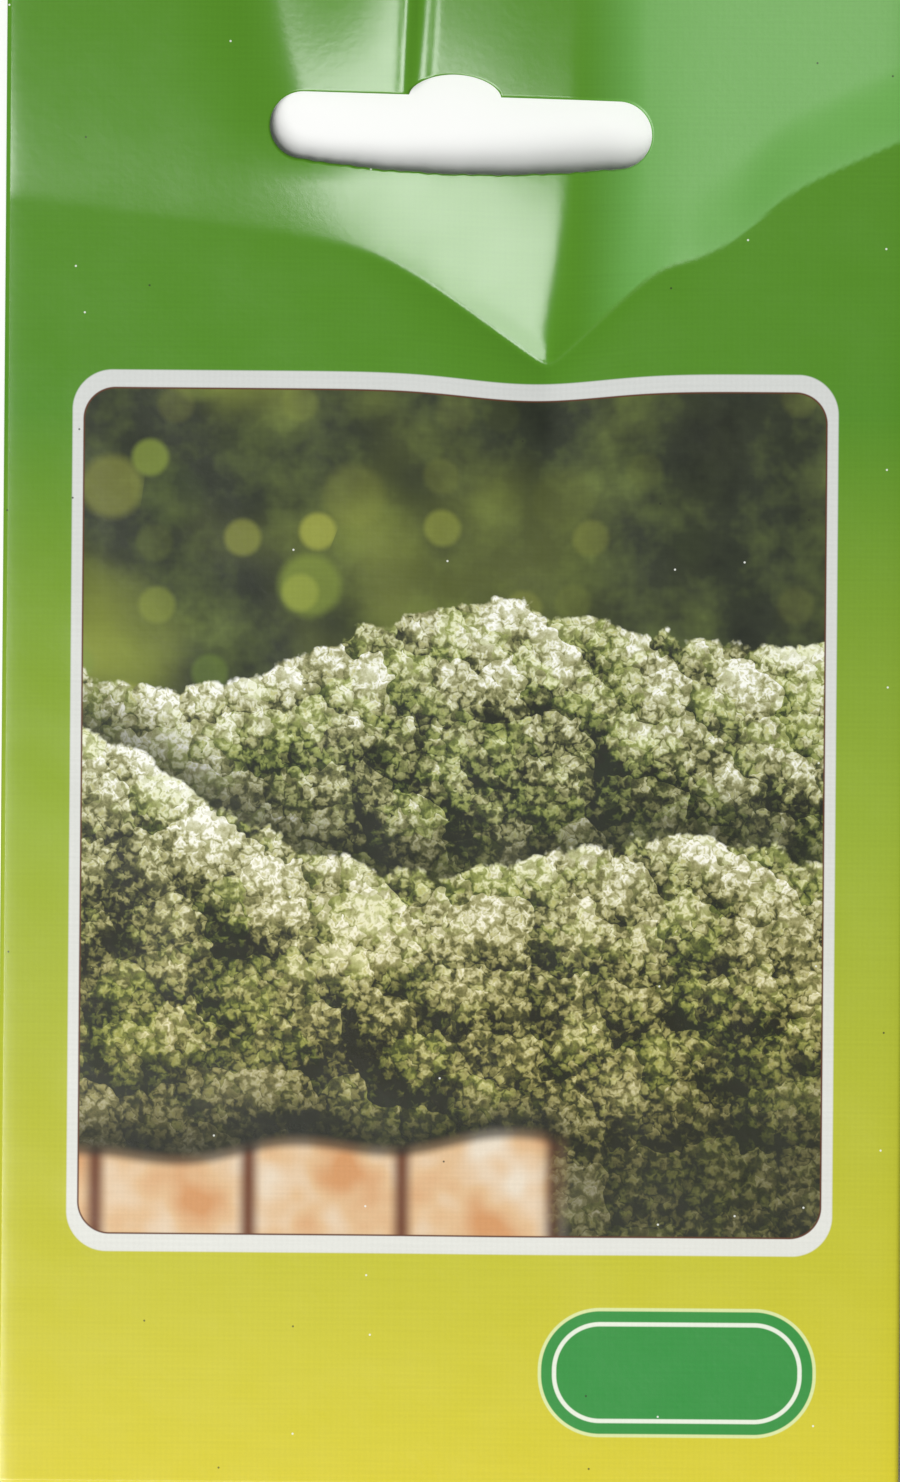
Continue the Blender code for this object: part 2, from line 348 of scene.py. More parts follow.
def crease_y(x, tip_radius=TIP_RADIUS, wing_bend=RIGHT_WING_BEND):
    """The crease's Y at each x: the lower of the tongue's V and the wings, with soft joins.

    The right wing is a straight line plus a tanh bend that starts past the V."""
    left = TONGUE_TIP[1] + TONGUE_LEFT_SLOPE * (x - TONGUE_TIP[0])
    right = TONGUE_TIP[1] + TONGUE_RIGHT_SLOPE * (x - TONGUE_TIP[0])
    tongue = soft_max(left, right, tip_radius)
    left_wing = LEFT_WING_Y + LEFT_WING_SLOPE * x
    from_start = x - RIGHT_WING_START[0]
    bend = np.tanh((x - RIGHT_WING_BEND_X) / RIGHT_WING_BEND_RUN[0])
    bend = wing_bend * bend * smooth_step(from_start / RIGHT_WING_BEND_RUN[1])
    right_wing = RIGHT_WING_START[1] + RIGHT_WING_SLOPE * from_start + bend
    wings = soft_max(left_wing, right_wing, WING_RADIUS)
    return soft_min(tongue, wings, WING_RADIUS)


def swell(x, y):
    """Fullness of the pouch: a power curve across it times an ease from each end."""
    across = np.clip(np.abs(x) / (HALF_WIDTH - SIDE_SEAL), 0.0, 1.0)
    from_bottom = (y + HALF_HEIGHT - BOTTOM_SEAL) / BOTTOM_SWELL
    from_top = (crease_y(x) - y) / TOP_SWELL
    return (1.0 - across ** SIDE_POWER) * ease_up(from_bottom) * ease_up(from_top)


def lift_curve(past, slope, length):
    """A rise past the crease: slope times length times 1 - exp(-(past / length)^power)."""
    return slope * length * (1.0 - np.exp(-(np.maximum(past, 0.0) / length) ** LIFT_POWER))


def header_lift(x, y):
    """The left part's, the tongue's and the right part's rise, with smooth steps between them.

    Away from the crease the tongue's tip is rounder and leans right. The right part also rises
    a little to the right, from nothing at the crease."""
    to_tongue = smooth_step(span_share(x, LIFT_LEFT_SPAN))
    to_right = smooth_step(span_share(x, LIFT_RIGHT_SPAN))
    near = np.maximum(y - crease_y(x), 0.0)
    far = np.maximum(y - crease_y(x - RIDGE_LEAN * near, TIP_FAR_RADIUS, 0.0), 0.0)
    past = far + (near - far) * np.exp(-near / LIFT_BLEND)
    left, tongue, right = [lift_curve(past, *part) for part in zip(LIFT_SLOPES, LIFT_LENGTHS)]
    sideways = RIGHT_RISE * soft_max(x - RIGHT_RISE_X, 0.0, RIGHT_RISE_ROUND)
    right = right + sideways * smooth_step(near / RIGHT_RISE_RUN)
    return left + (tongue - left) * to_tongue + (right - tongue) * to_right


def crease_groove(x, y):
    """A groove that falls off exponentially on each side of the crease, more slowly in the pouch,
    and by a Gaussian away from the tongue."""
    past = y - crease_y(x)
    width = np.where(past < 0.0, CREASE_POUCH_SIDE, CREASE_HEADER_SIDE)
    near_tongue = np.exp(-((x - TONGUE_TIP[0]) / CREASE_REACH) ** 2)
    return CREASE_DEPTH * near_tongue * np.exp(-np.abs(past) / width)


def header_folds(x, y):
    """A leaning Gaussian valley, wider on its right, a stair of soft steps for the wrinkle, and a
    shoulder between them that slopes up to the packet's end."""
    from_dent = x - DENT_X - DENT_LEAN * (y - HALF_HEIGHT)
    width = np.where(from_dent < 0.0, DENT_WIDTHS[0], DENT_WIDTHS[1])
    dent = DENT_DEPTH * np.exp(-(from_dent / width) ** 2)
    dent = dent * smooth_step((y - DENT_START_Y) / DENT_RUN)
    wrinkle = np.zeros_like(x)
    leaning_x = x - WRINKLE_LEAN * (y - HALF_HEIGHT)
    for step_x, step_height, step_width in WRINKLE_STEPS:
        wrinkle = wrinkle + step_height * 0.5 * (1.0 + np.tanh((leaning_x - step_x) / step_width))
    wrinkle = wrinkle * smooth_step((y - WRINKLE_START_Y) / WRINKLE_RUN)
    shoulder = SHOULDER_SLOPE * np.maximum(y - SHOULDER_START_Y, 0.0)
    shoulder = shoulder * smooth_step(span_share(x, SHOULDER_SPAN))
    drop = smooth_step(span_share(leaning_x, SHOULDER_DROP))
    return wrinkle + shoulder * (1.0 - drop) - dent


def edge_curl(x):
    """The long edges bend down by an exponential within about a millimetre of each."""
    inward = HALF_WIDTH - np.abs(x)
    return EDGE_CURL * np.exp(-inward / EDGE_CURL_WIDTH)


def ripples(x, y, height):
    """Gentle waves: half the sum of a few slanted sine waves of drawn length, lean and phase."""
    draw = np.random.default_rng(RIPPLE_DRAW)
    total = np.zeros_like(x)
    for _ in range(RIPPLE_COUNT):
        length = draw.uniform(*RIPPLE_LENGTHS_MM) * MM
        lean = draw.uniform(0.0, math.pi)
        phase = draw.uniform(0.0, 2 * math.pi)
        along = x * math.cos(lean) + y * math.sin(lean)
        total += np.sin(2 * math.pi * along / length + phase)
    return height * total / 2.0


def puckers(x, y, height):
    """Short sine waves along each side seal, whose phase wanders by a longer one.

    A Gaussian makes them strongest where the pouch meets the seal, and they fade at its ends."""
    near = np.exp(-((np.abs(x) - (HALF_WIDTH - SIDE_SEAL)) / PUCKER_REACH) ** 2)
    wander = PUCKER_WANDER * np.sin(y / PUCKER_LENGTHS[1])
    wave = np.sin(y / PUCKER_LENGTHS[0] + wander + np.where(x < 0.0, 0.0, PUCKER_RIGHT_SHIFT))
    pouch = smooth_step((y + HALF_HEIGHT - 2 * BOTTOM_SEAL) / PUCKER_FADE)
    pouch = pouch * smooth_step((crease_y(x) - PUCKER_CREASE_GAP - y) / PUCKER_FADE)
    return height * near * wave * pouch


def seal_plane(x, y):
    """Height of the plane between the two sheets: its level plus the lift and folds, less the curl."""
    return SEAL_PLANE + header_lift(x, y) + header_folds(x, y) - edge_curl(x)


def front_top(x, y, laminate):
    """Outer face of the front sheet: the seal plane plus half the plies, the belly and the waves,
    less the groove."""
    half_plies = PLY_GAP / 2 + laminate.thickness
    belly = FRONT_BELLY * swell(x, y)
    waves = ripples(x, y, laminate.ripple) * smooth_step(swell(x, y) * RIPPLE_FADE)
    waves = waves + puckers(x, y, laminate.pucker)
    return seal_plane(x, y) + half_plies + belly - crease_groove(x, y) + waves


def back_bottom(x, y, laminate):
    """Outer face of the back sheet: the seal plane less half the plies, the belly and the groove,
    but never below the surface, so it's level there under most of the pouch."""
    half_plies = PLY_GAP / 2 + laminate.thickness
    belly = (CAD_BACK_BELLY + CAD_HALF_PLIES - half_plies) * ease_up(swell(x, y) / BACK_FLAT_SHARE)
    height = seal_plane(x, y) - half_plies - belly - crease_groove(x, y)
    return np.maximum(height, 0.0)


def slot_outline(shares):
    """The slot's edge, counter-clockwise from its right end, as points at these shares of its length.

    Two half circles, a straight upper edge with a bump of a sine's power on it, and a lower edge
    that is a shallow parabola with the torn fibres' small waves."""
    radius = SLOT_WIDTH / 2
    reach = SLOT_LENGTH / 2 - radius
    turn = np.linspace(0.0, math.pi / 2, END_POINTS)
    right_up = np.stack((reach + radius * np.cos(turn), radius * np.sin(turn)), axis=1)
    arch = np.linspace(0.0, math.pi, BUMP_POINTS)
    rise = BUMP_HEIGHT * np.sin(arch) ** BUMP_POWER
    bump = np.stack((BUMP_X + BUMP_HALF_WIDTH * np.cos(arch), radius + rise), axis=1)
    turn = np.linspace(math.pi / 2, 3 * math.pi / 2, 2 * END_POINTS)
    left = np.stack((-reach + radius * np.cos(turn), radius * np.sin(turn)), axis=1)
    along = np.linspace(-reach, reach, LOWER_POINTS)[1:-1]
    sag = -radius - SLOT_SAG * (1.0 - (along / reach) ** 2)
    fine, middling, coarse = TORN_LENGTHS
    torn = np.sin(along / fine) + np.sin(along / middling + 1.0) + np.sin(along / coarse)
    lower = np.stack((along, sag + TORN_HEIGHT * torn / 2), axis=1)
    turn = np.linspace(-math.pi / 2, 0.0, END_POINTS)
    right_low = np.stack((reach + radius * np.cos(turn), radius * np.sin(turn)), axis=1)
    drawn = np.concatenate((right_up, bump, left, lower, right_low))
    cos, sin = math.cos(SLOT_TILT), math.sin(SLOT_TILT)
    drawn = drawn @ np.array(((cos, sin), (-sin, cos))) + np.array(SLOT_CENTRE)
    run = np.concatenate(((0.0,), np.cumsum(np.linalg.norm(np.diff(drawn, axis=0), axis=1))))
    wanted = shares * run[-1]
    return np.stack((np.interp(wanted, run, drawn[:, 0]), np.interp(wanted, run, drawn[:, 1])), axis=1)


def grid_lines(edges, counts):
    """Grid lines from edge to edge, each span split evenly."""
    spans = [np.linspace(a, b, n, endpoint=False) for a, b, n in zip(edges, edges[1:], counts)]
    return np.concatenate(spans + [np.array(edges[-1:])])


def slotted_grid(column_counts, row_counts):
    """Points and faces of the sheet seen from above: a plain grid with a window of rings.

    In the window, ring t of point k lies at share t of the way from the slot's edge to the
    window's edge, so the faces follow the slot."""
    columns = grid_lines((-HALF_WIDTH, *WINDOW_X, HALF_WIDTH), column_counts)
    rows = grid_lines((-HALF_HEIGHT, HEADER_FOOT_Y, *WINDOW_Y, HALF_HEIGHT), row_counts)
    left, right = column_counts[0], column_counts[0] + column_counts[1]
    low = row_counts[0] + row_counts[1]
    high = low + row_counts[2]
    middle = (low + high) // 2
    x, y = np.meshgrid(columns, rows)
    plain = np.stack((x.ravel(), y.ravel()), axis=1)
    index = np.arange(len(plain)).reshape(x.shape)
    cells = np.stack((index[:-1, :-1], index[:-1, 1:], index[1:, 1:], index[1:, :-1]), axis=-1)
    outside = np.ones(cells.shape[:2], dtype=bool)
    outside[low:high, left:right] = False
    loop = np.concatenate((
        index[middle:high, right], index[high, right:left:-1], index[high:low:-1, left],
        index[low, left:right], index[low:middle, right]))
    edge = plain[loop]
    steps = np.linalg.norm(np.diff(edge, axis=0, append=edge[:1]), axis=1)
    share = np.concatenate(((0.0,), np.cumsum(steps)[:-1])) / steps.sum()
    slot = slot_outline(share)
    parts = np.arange(SLOT_RINGS)[:, None, None] / SLOT_RINGS
    rings = (slot[None] * (1.0 - parts) + edge[None] * parts).reshape(-1, 2)
    ring_index = len(plain) + np.arange(SLOT_RINGS * len(loop)).reshape(SLOT_RINGS, -1)
    ring_index = np.vstack((ring_index, loop))
    after = np.roll(ring_index, -1, axis=1)
    ring_cells = np.stack((ring_index[:-1], ring_index[1:], after[1:], after[:-1]), axis=-1)
    faces = np.concatenate((cells[outside], ring_cells.reshape(-1, 4)))
    points = np.concatenate((plain, rings))
    used, faces = np.unique(faces, return_inverse=True)
    return points[used], faces.reshape(-1, 4)


def mesh_from(name, points, faces, maps=None):
    """A smooth mesh at the origin, from lists of point numbers, with a UV map for each named array."""
    mesh = bpy.data.meshes.new(name)
    mesh.from_pydata(points.tolist(), [], faces)
    mesh.update()
    corners = np.empty(len(mesh.loops), dtype=np.int32)
    mesh.loops.foreach_get("vertex_index", corners)
    for map_name, places in (maps or {}).items():
        layer = mesh.uv_layers.new(name=map_name)
        layer.data.foreach_set("uv", places[corners].astype(np.float32).ravel())
    mesh.shade_smooth()
    piece = bpy.data.objects.new(name, mesh)
    bpy.context.scene.collection.objects.link(piece)
    return piece


def make_sheet(name, points, faces, maps, thickness, printed):
    """A sheet from its outer face: Solidify inwards, with the cut edge and the inner face in their
    own materials."""
    sheet = mesh_from(name, points, faces.tolist(), maps)
    solid = sheet.modifiers.new("Laminate", "SOLIDIFY")
    solid.thickness = thickness
    solid.offset = -1.0
    solid.use_even_offset = False
    solid.material_offset_rim = 1
    solid.material_offset = 2
    for material in (printed, paper_edge(), inner_film()):
        sheet.data.materials.append(material)
    return sheet


class Value:
    """A number's socket with Python's operators, each of which adds a Math node."""

    def __init__(self, paint, socket):
        self.paint = paint
        self.socket = socket

    def math(self, operation, *others):
        links = dict(enumerate((self, *others)))
        return self.paint.node("ShaderNodeMath", {"operation": operation}, links)

    def __add__(self, other):
        return self.math("ADD", other)

    def __radd__(self, other):
        return self.math("ADD", other)

    def __sub__(self, other):
        return self.math("SUBTRACT", other)

    def __rsub__(self, other):
        return (self * -1.0).math("ADD", other)

    def __mul__(self, other):
        return self.math("MULTIPLY", other)

    def __rmul__(self, other):
        return self.math("MULTIPLY", other)

    def __truediv__(self, other):
        return self.math("DIVIDE", other)

    def __rtruediv__(self, other):
        return self.math("POWER", -1.0) * other

    def __gt__(self, other):
        return self.math("GREATER_THAN", other)

    def __lt__(self, other):
        return self.math("LESS_THAN", other)

    def __abs__(self):
        return self.math("ABSOLUTE")

    def sin(self):
        return self.math("SINE")

    def root(self):
        return self.math("SQRT")

    def most(self, other):
        return self.math("MAXIMUM", other)

    def fraction(self):
        return self.math("FRACT")

    def rise(self, low, high):
        """0 below low and 1 above high, smooth between. With low above high it falls instead."""
        links = {"Value": self, "From Min": low, "From Max": high}
        return self.paint.node("ShaderNodeMapRange", {"interpolation_type": "SMOOTHSTEP"}, links)

    def share(self, low, high):
        """0 at low and 1 at high, straight between."""
        links = {"Value": self, "From Min": low, "From Max": high}
        return self.paint.node("ShaderNodeMapRange", None, links)


def opaque(colour):
    """A plain colour with an alpha of 1, or a socket as it is."""
    return (*colour, 1.0) if isinstance(colour, tuple) else colour


class Paint:
    """A material's node tree with one method that adds any node."""

    def __init__(self, name):
        self.material = bpy.data.materials.new(name)
        self.material.use_nodes = True
        self.tree = self.material.node_tree
        self.tree.nodes.clear()

    def node(self, kind, settings=None, links=None, out=0):
        """Adds a node, sets its settings, fills its sockets, and gives the wanted output or the node."""
        made = self.tree.nodes.new(kind)
        for name, value in (settings or {}).items():
            setattr(made, name, value)
        for place, value in (links or {}).items():
            socket = made.inputs[place]
            if isinstance(value, Value):
                self.tree.links.new(value.socket, socket)
            else:
                socket.default_value = value
        if out is None:
            return made
        return Value(self, made.outputs[out])

    def ramp(self, value, *stops):
        """A colour ramp with one stop for each (place, colour)."""
        made = self.node("ShaderNodeValToRGB", None, {0: value}, out=None)
        elements = made.color_ramp.elements
        while len(elements) < len(stops):
            elements.new(1.0)
        for element, (place, colour) in zip(elements, stops):
            element.position = place
            element.color = opaque(colour)
        return Value(self, made.outputs[0])

    def split(self, value, kind="XYZ"):
        """The three parts of a vector, or of a colour where kind is Color."""
        made = self.node("ShaderNodeSeparate" + kind, None, {0: value}, out=None)
        return [Value(self, part) for part in made.outputs]

    def mix(self, first, second, factor, blend="MIX"):
        """Goes from the first colour to the second as factor goes from 0 to 1."""
        settings = {"data_type": "RGBA", "blend_type": blend}
        links = {0: factor, 6: opaque(first), 7: opaque(second)}
        return self.node("ShaderNodeMix", settings, links, out=2)

    def point(self, x, y, z=0.0):
        """A vector of three numbers or sockets."""
        return self.node("ShaderNodeCombineXYZ", None, {0: x, 1: y, 2: z})

    def noise(self, place, scale, detail=2.0, roughness=0.5):
        """Cloudy noise round 0.5."""
        links = {"Vector": place, "Scale": scale, "Detail": detail, "Roughness": roughness}
        return self.node("ShaderNodeTexNoise", {"noise_dimensions": "3D"}, links)

    def bend(self, x, y, scale, reach):
        """The place moved up to half the reach each way by a noise of its own."""
        links = {"Vector": self.point(x, y), "Scale": scale, "Detail": 2.0, "Roughness": 0.6}
        pull = self.node("ShaderNodeTexNoise", {"noise_dimensions": "2D"}, links, out=1)
        pull_x, pull_y, _ = self.split(pull, "Color")
        return x + (pull_x - 0.5) * reach, y + (pull_y - 0.5) * reach

    def cells(self, place, scale, randomness=1.0):
        """Voronoi cells: distance to the centre, two random numbers of the cell, the centre's x and y."""
        links = {"Vector": place, "Scale": scale, "Randomness": randomness}
        made = self.node("ShaderNodeTexVoronoi", {"voronoi_dimensions": "2D"}, links, out=None)
        one, two, _ = self.split(Value(self, made.outputs["Color"]), "Color")
        centre_x, centre_y, _ = self.split(Value(self, made.outputs["Position"]))
        return Value(self, made.outputs["Distance"]), one, two, centre_x, centre_y

    def bump(self, height, strength, distance):
        """A surface's low relief, where a height of 1 stands for the distance."""
        links = {"Strength": strength, "Distance": distance, "Height": height}
        return self.node("ShaderNodeBump", None, links)

    def finish(self, **sockets):
        """A Principled BSDF with these sockets, to the material's output."""
        links = {name.replace("_", " "): value for name, value in sockets.items()}
        shader = self.node("ShaderNodeBsdfPrincipled", None, links)
        self.node("ShaderNodeOutputMaterial", None, {0: shader}, out=None)
        return self.material


def print_place(paint):
    """The print's own coordinates in millimetres from the middle of the packet."""
    across, up, _ = paint.split(paint.node("ShaderNodeUVMap", {"uv_map": "print"}))
    return (across - 0.5) * WIDTH_MM, (up - 0.5) * HEIGHT_MM


def rounded_box(x, y, centre, size, radius):
    """Distance in millimetres outside a rounded rectangle, negative inside."""
    over_x = (abs(x - centre[0]) - (size[0] / 2 - radius)).most(0.0)
    over_y = (abs(y - centre[1]) - (size[1] / 2 - radius)).most(0.0)
    return (over_x * over_x + over_y * over_y).root() - radius


def print_gradient(paint, y, colours):
    """Green at the header, straight to yellow green beside the picture and to yellow at the foot."""
    top, middle, foot = GRADIENT_PLACES
    colour = paint.mix(tuple(colours.header_green), tuple(colours.middle_green), y.share(top, middle))
    return paint.mix(colour, tuple(colours.foot_yellow), y.share(middle, foot))


def print_screen(x, y):
    """Dots of a print screen, -1 to 1: the product of two crossed sine waves."""
    cos = math.cos(SCREEN_ANGLE) * math.pi / SCREEN_PITCH
    sin = math.sin(SCREEN_ANGLE) * math.pi / SCREEN_PITCH
    return (x * cos + y * sin).sin() * (y * cos - x * sin).sin()


def hedge(paint, x, y, place):
    """Dark leaves out of focus, with round soft spots of light, more of them to the upper left."""
    blotch = paint.noise(place, scale=0.11, detail=4.0, roughness=0.62)
    colour = paint.ramp(blotch, (0.30, srgb(30, 34, 26)), (0.46, srgb(46, 52, 36)),
                        (0.60, srgb(74, 84, 46)), (0.76, srgb(104, 118, 60)))
    glow = (x * -0.022 + y * 0.010 + 0.12).rise(-0.15, 0.95)
    wide = paint.noise(paint.point(x, y, 7.0), scale=0.055)
    colour = paint.mix(colour, srgb(140, 152, 56), wide.rise(0.46, 0.72) * (glow * 0.85 + 0.05))
    for scale, strength, shift in HEDGE_LIGHTS:
        far, tint, level, _, _ = paint.cells(paint.point(x + shift, y - shift), scale, randomness=0.6)
        green = paint.mix(srgb(96, 124, 46), srgb(178, 182, 74), tint)
        spot = far.rise(0.32, 0.20) * level.rise(0.35, 0.9)
        colour = paint.mix(colour, green, spot * (glow * strength + 0.08))
    return colour


def clay_edging(paint, x, place):
    """A row of pale clay edging bricks out of focus, with dark joints."""
    along = (x / BRICK_LENGTH + BRICK_SHIFT).fraction()
    brick = along.rise(0.0, BRICK_JOINT) * along.rise(1.0, 1.0 - BRICK_JOINT)
    warm = paint.noise(place, scale=0.14)
    colour = paint.ramp(warm, (0.34, srgb(206, 148, 96)), (0.50, srgb(218, 182, 138)),
                        (0.66, srgb(226, 212, 190)))
    return paint.mix(srgb(112, 68, 42), colour, brick)


def lit_side(from_x, from_y, size):
    """How far a place lies from its centre towards the light at the upper right, in sizes."""
    return (from_x * LIGHT_FROM[0] + from_y * LIGHT_FROM[1]) * (1.0 / size)


def petal_lobes(from_x, from_y, pick):
    """Four lobes round a centre by cos(4 angle), turned an eighth where pick is below a half.

    cos(2 angle) is (x^2 - y^2) / (x^2 + y^2), and cos(4 angle) is twice its square less 1."""
    across, up = from_x * from_x, from_y * from_y
    double = (across - up) / (across + up + NEAR_ZERO)
    return (double * double * 2.0 - 1.0) * ((pick > 0.5) * 2.0 - 1.0)


def flower_drift(paint, x, y, shift, edge, head_size):
    """A drift of rounded flower heads below its edge: (colour, cover).

    Each head is a dome over a Voronoi cell and its florets are smaller cells with four petals,
    both lit from the upper right. The height is a weighted sum of them, of crumbs, of the drift's
    rim and of wide patches. A ramp turns it into petals, stalks and dark gaps."""
    bent_x, bent_y = paint.bend(x + shift, y - shift, scale=0.35, reach=3.0)
    head, tint, lift, head_x, head_y = paint.cells(paint.point(bent_x, bent_y), 1.0 / head_size)
    head_lit = lit_side(bent_x - head_x, bent_y - head_y, head_size)
    fine_x, fine_y = paint.bend(x + shift, y - shift, scale=0.9, reach=1.3)
    near, shade, bright, dot_x, dot_y = paint.cells(paint.point(fine_x, fine_y), 1.0 / FLORET_SIZE)
    from_x, from_y = fine_x - dot_x, fine_y - dot_y
    floret_lit = lit_side(from_x, from_y, FLORET_SIZE)
    lobes = petal_lobes(from_x, from_y, bright)
    crumb = paint.noise(paint.point(x, y, shift), scale=1.7, detail=3.0, roughness=0.68)
    below = edge - y + (head - 0.45) * -2.0 + (near - 0.4) * -0.6
    rim = below.rise(15.0, -2.0)
    patch = paint.noise(paint.point(x, y, shift), scale=0.12, detail=3.0, roughness=0.6)
    dome = head.rise(0.85, 0.20)
    floret = (near + lobes * -0.11).rise(0.60, 0.20)
    height = dome * 0.20 + floret * 0.30 + head_lit * 0.30 + floret_lit * 0.10 + (crumb - 0.5) * 0.58
    height = height + rim * 0.34 + (patch - 0.5) * 0.85 + (bright - 0.5) * 0.24 + (lift - 0.5) * 0.14 + 0.04
    cream = paint.ramp(height, (0.06, srgb(36, 38, 28)), (0.22, srgb(68, 71, 42)),
                       (0.36, srgb(114, 114, 70)), (0.50, srgb(156, 154, 108)),
                       (0.68, srgb(202, 202, 166)), (0.90, srgb(246, 246, 238)))
    leafy = paint.ramp(height, (0.06, srgb(34, 42, 26)), (0.30, srgb(86, 100, 44)),
                       (0.56, srgb(146, 158, 72)), (0.84, srgb(216, 220, 164)))
    greens = (tint * 0.4 + shade * 0.35 + (crumb - 0.5) * 0.6 - 0.25).rise(0.0, 0.45)
    colour = paint.mix(cream, leafy, greens * 0.75)
    eye = near.rise(0.20, 0.06) * height.rise(0.42, 0.66)
    colour = paint.mix(colour, srgb(176, 174, 84), eye * 0.55)
    return colour, below.rise(-0.2, 0.25)


def wavy_edge(x, rate, phase, height, slope, level):
    """Where a bed's upper edge lies at each x: a sine wave on a slope."""
    return (x * rate + phase).sin() * height + x * slope + level


def picture(paint, x, y):
    """A generic flower bed: a hedge, two drifts of pale flowers and a clay edging.

    Dusk darkens the foot of the far drift, a warm tint and a low shade the near one, and a
    shadow runs along the top and the end of the bricks."""
    place = paint.point(x, y)
    colour = hedge(paint, x, y, place)
    far_edge = wavy_edge(x, rate=0.13, phase=1.3, height=3.0, slope=0.08, level=15.0)
    near_edge = wavy_edge(x, rate=0.10, phase=-0.9, height=4.0, slope=-0.18, level=-2.0)
    heads, cover = flower_drift(paint, x, y, shift=31.0, edge=far_edge, head_size=FAR_HEAD_SIZE)
    colour = paint.mix(colour, heads, cover)
    dusk = (near_edge + 1.5 - y).rise(-5.0, 2.0)
    colour = paint.mix(colour, srgb(34, 38, 26), dusk * 0.78)
    heads, cover = flower_drift(paint, x, y, shift=77.0, edge=near_edge, head_size=NEAR_HEAD_SIZE)
    colour = paint.mix(colour, heads, cover)
    colour = paint.mix(colour, srgb(250, 240, 208), y.rise(6.0, -24.0), "MULTIPLY")
    low_shade = (x * 0.12 + y * 0.10).sin() * 2.0 - 24.0
    colour = paint.mix(colour, srgb(40, 42, 30), (low_shade - y).rise(-5.0, 6.0) * 0.72)
    brick_top = wavy_edge(x, rate=0.35, phase=0.0, height=0.6, slope=0.05, level=-27.6)
    under_top = brick_top - y
    bricks = under_top.rise(-0.6, 0.6) * x.rise(10.5, 7.0)
    colour = paint.mix(colour, clay_edging(paint, x, place), bricks)
    shadow = under_top.rise(-4.0, 0.0) * under_top.rise(1.2, 0.2) * x.rise(12.0, 8.0)
    return paint.mix(colour, srgb(30, 32, 22), shadow * 0.75)


def corner_patch(paint, x, y, colour):
    """A bare green patch with round corners, a thin pale line inside its edge and a pale rim."""
    away = rounded_box(x, y, PATCH_CENTRE, PATCH_SIZE, PATCH_RADIUS)
    colour = paint.mix(colour, srgb(214, 224, 160), away.rise(*PATCH_RIM))
    colour = paint.mix(colour, srgb(52, 142, 62), away.rise(*PATCH_EDGE))
    line = abs(away + PATCH_LINE_DEPTH).rise(*PATCH_LINE)
    return paint.mix(colour, srgb(226, 232, 214), line)


def laminate_finish(paint, x, y, colour):
    """Print grain, screen dots and dust, under a gloss film with a fine orange peel.

    The film is duller where the map named film says so, and a painted sheen tints the colour pale green
    there."""
    place = paint.point(x, y)
    dull_and_sheen, _, _ = paint.split(paint.node("ShaderNodeUVMap", {"uv_map": "film"}))
    # Painted sheen: a pale green tint where the film is dull, standing in for the haze of light it reflects
    colour = paint.mix(colour, srgb(152, 230, 142), dull_and_sheen * 0.20)
    grain = paint.noise(place, scale=5.5, roughness=0.6)
    dots = print_screen(x, y)
    streak = paint.noise(paint.point(x * 0.12, y * 4.5), scale=1.0, roughness=0.6)
    tone = (grain - 0.5) * 0.10 + dots * 0.02 + (streak - 0.5) * 0.09 + 1.0
    shade = paint.node("ShaderNodeCombineColor", None, {0: tone, 1: tone, 2: tone})
    colour = paint.mix(colour, shade, 1.0, "MULTIPLY")
    far, pick, kind, _, _ = paint.cells(place, DUST_CELLS)
    speck = far.rise(0.018, 0.010) * (pick > 0.78)
    dust = paint.mix(srgb(44, 46, 34), srgb(238, 240, 232), kind > 0.35)
    colour = paint.mix(colour, dust, speck * 0.8)
    peel = paint.noise(place, scale=1.4, detail=3.0, roughness=0.55)
    haze = paint.noise(place, scale=0.22, detail=3.0, roughness=0.6)
    roughness = (haze - 0.5) * 0.08 + 0.20 + dull_and_sheen * 0.16
    relief = paint.bump(peel, strength=0.12, distance=PEEL_HEIGHT)
    return paint.finish(Base_Color=colour, Roughness=roughness, Normal=relief)


def front_print(colours):
    """The printed face: the gradient, the corner patch, the white frame, greyed towards the top by painted
    shade, with a thin dark line inside it, and the picture."""
    paint = Paint("front_print")
    x, y = print_place(paint)
    colour = print_gradient(paint, y, colours)
    colour = corner_patch(paint, x, y, colour)
    outer = rounded_box(x, y, PICTURE_CENTRE, FRAME_SIZE, FRAME_RADIUS)
    inner = rounded_box(x, y, PICTURE_CENTRE, PICTURE_SIZE, PICTURE_RADIUS)
    # Painted shade: the frame's white is greyer towards the top
    white = paint.mix(srgb(206, 208, 204), tuple(colours.frame_white), y.share(*FRAME_PAINTED_SHADE))
    colour = paint.mix(colour, white, outer.rise(*FRAME_EDGE))
    inside = picture(paint, x, y - PICTURE_CENTRE[1])
    colour = paint.mix(colour, srgb(92, 52, 30), inner.rise(*DARK_LINE_EDGE))
    colour = paint.mix(colour, inside, inner.rise(*PICTURE_EDGE))
    return laminate_finish(paint, x, y, colour)


def back_print(colours):
    """The back: the same gradient round a bare pale panel with a row of plain month squares."""
    paint = Paint("back_print")
    x, y = print_place(paint)
    colour = print_gradient(paint, y, colours)
    pale = srgb(238, 238, 222)
    panel = rounded_box(x, y, PANEL_CENTRE, PANEL_SIZE, PANEL_RADIUS)
    colour = paint.mix(colour, pale, panel.rise(*FRAME_EDGE))
    half_row = MONTHS / 2 * MONTH_STEP
    month = (x + half_row) / MONTH_STEP
    from_middle = (abs(month.fraction() - 0.5) * MONTH_STEP).most(abs(y - MONTH_Y))
    in_row = abs(x) < half_row
    square = from_middle.rise(MONTH_OUTER, MONTH_OUTER - MONTH_EDGE) * in_row
    colour = paint.mix(colour, srgb(120, 160, 70), square)
    inside = from_middle.rise(MONTH_INNER, MONTH_INNER - MONTH_EDGE) * in_row
    sown = (month > SOWN_MONTHS[0]) * (month < SOWN_MONTHS[1])
    colour = paint.mix(colour, pale, inside * (1.0 - sown))
    return laminate_finish(paint, x, y, colour)


